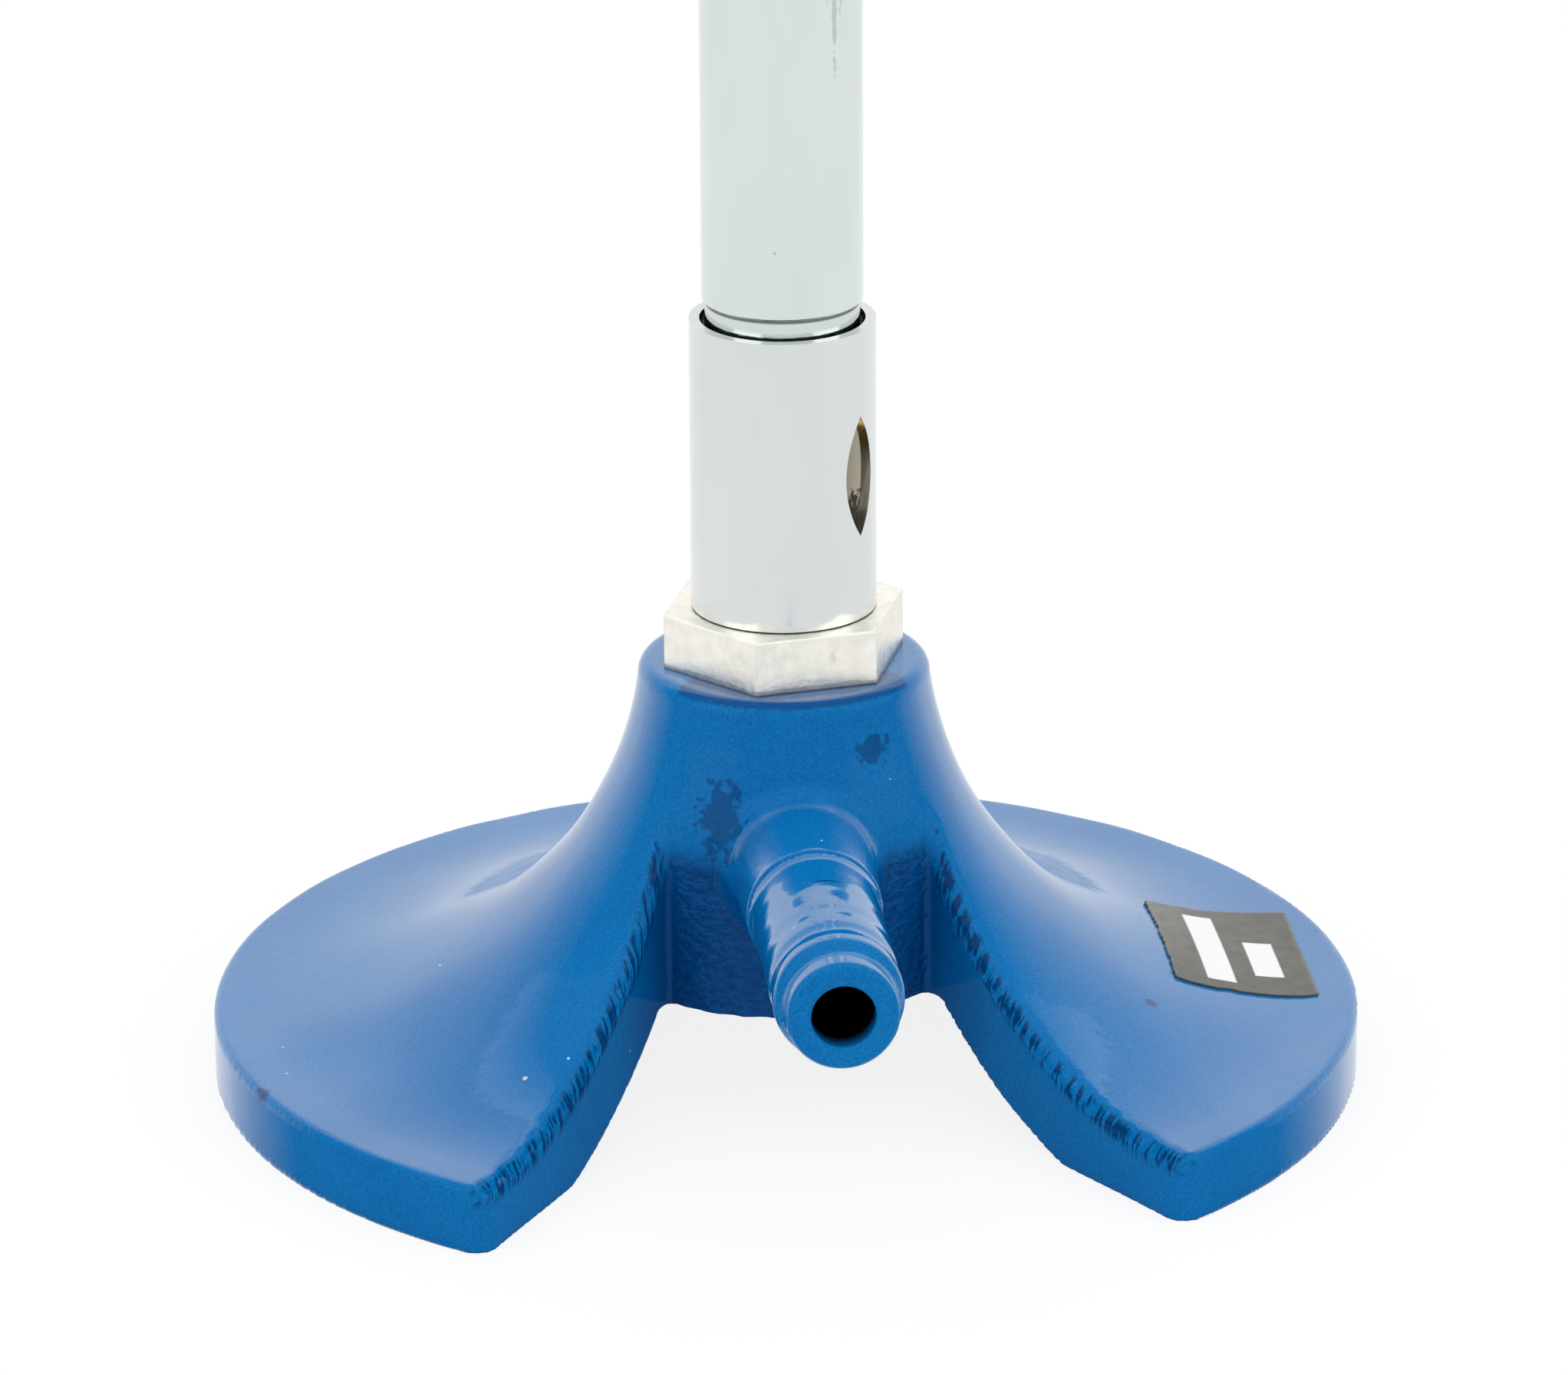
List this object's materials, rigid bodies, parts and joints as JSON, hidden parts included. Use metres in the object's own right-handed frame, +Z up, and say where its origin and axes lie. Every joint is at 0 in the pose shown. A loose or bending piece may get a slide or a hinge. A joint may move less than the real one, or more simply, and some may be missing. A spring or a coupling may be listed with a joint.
{
  "type": "bunsen burner",
  "caption": "Bunsen burner: forked cast foot with a side hose nozzle, hex body, turning air sleeve and plain upright barrel.",
  "frame": {"origin": "on the bench plane, on the barrel's axis", "axes": "+Z up along the barrel; the hose nozzle and the foot's notch face -Y; the label lies on the +X side"},
  "size_m": [0.0922, 0.0904, 0.1524],
  "materials": {
    "blue_paint": "glossy enamel over a rough casting",
    "nickel": "dull nickel plate over turned brass",
    "brass": "turned",
    "chrome_plate": "bright chrome plate with fine rubbing marks",
    "label": "printed vinyl, bare"
  },
  "bodies": {
    "burner": {"base_casting": "blue_paint", "hose_nozzle": "blue_paint", "hex_body": "nickel", "gas_jet": "brass", "mixer_body": "nickel", "barrel_tube": "chrome_plate", "blank_label": "label"},
    "air_sleeve": {"air_sleeve": "chrome_plate"}
  },
  "joints": [
    {"name": "air_sleeve_turn", "type": "hinge", "parent": "burner", "child": "air_sleeve", "pos_m": [0, 0, 0.0508], "axis": [0, 0, 1], "continuous": true}
  ]
}
